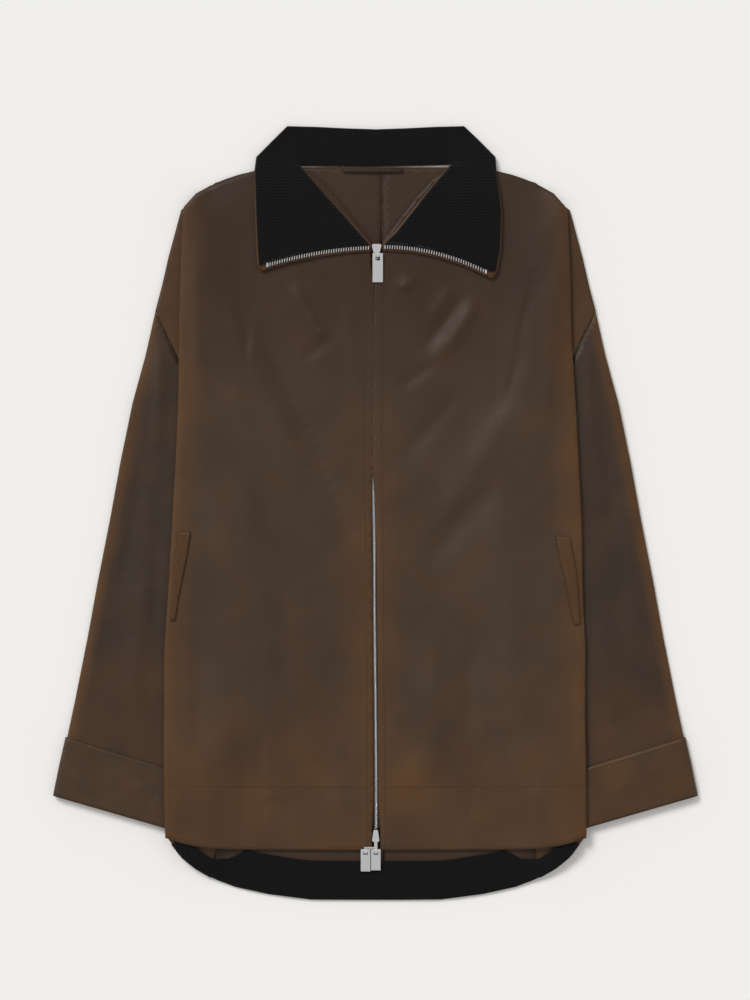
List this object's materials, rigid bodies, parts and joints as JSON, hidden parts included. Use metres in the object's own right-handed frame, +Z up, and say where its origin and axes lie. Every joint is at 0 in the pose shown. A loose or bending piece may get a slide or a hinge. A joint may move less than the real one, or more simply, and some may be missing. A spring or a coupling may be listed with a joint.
{
  "type": "gabardine jacket",
  "caption": "Waxed gabardine zip jacket with a corduroy collar and turned-back cuffs, laid flat with the collar open",
  "frame": {"origin": "middle of the jacket's footprint, on the surface that it lies on", "axes": "+X to the wearer's left, +Y from the hem to the collar, +Z up from the surface"},
  "size_m": [0.7086, 0.8508, 0.0151],
  "materials": {
    "gabardine": "waxed, soft sheen",
    "corduroy": "fine black wales",
    "zip_tape": "woven tape",
    "zip_metal": "polished"
  },
  "bodies": {
    "jacket": {"front_right": "gabardine", "front_left": "gabardine", "back_right": "gabardine", "back_left": "gabardine", "sleeve_right": "gabardine", "sleeve_left": "gabardine", "cuff_right": "gabardine", "cuff_left": "gabardine", "pocket_welt_right": "gabardine", "pocket_welt_left": "gabardine", "zip_tape_right": "zip_tape", "zip_tape_left": "zip_tape", "zip_teeth_right": "zip_metal", "zip_teeth_left": "zip_metal", "zip_stop_right": "zip_metal", "zip_stop_left": "zip_metal", "collar_shell": "gabardine", "collar_facing": "corduroy", "hem_facing": "corduroy", "hanger_loop": "gabardine", "zip_chain": "zip_metal", "slider_top": "zip_metal", "slider_bottom": "zip_metal"},
    "pull_top": {"pull_top": "zip_metal"},
    "pull_bottom_front": {"pull_bottom_front": "zip_metal"},
    "pull_bottom_back": {"pull_bottom_back": "zip_metal"}
  },
  "joints": [
    {"name": "pull_top_hinge", "type": "hinge", "parent": "jacket", "child": "pull_top", "pos_m": [0.0025, 0.28353, 0.008], "axis": [-1, 0, 0], "range_deg": [0, 140]},
    {"name": "pull_bottom_front_hinge", "type": "hinge", "parent": "jacket", "child": "pull_bottom_front", "pos_m": [0.0004, -0.37037, 0.008], "axis": [-1, 0, 0], "range_deg": [0, 140]},
    {"name": "pull_bottom_back_hinge", "type": "hinge", "parent": "jacket", "child": "pull_bottom_back", "pos_m": [-0.0109, -0.37037, 0.008], "axis": [-1, 0, 0], "range_deg": [0, 140]}
  ]
}
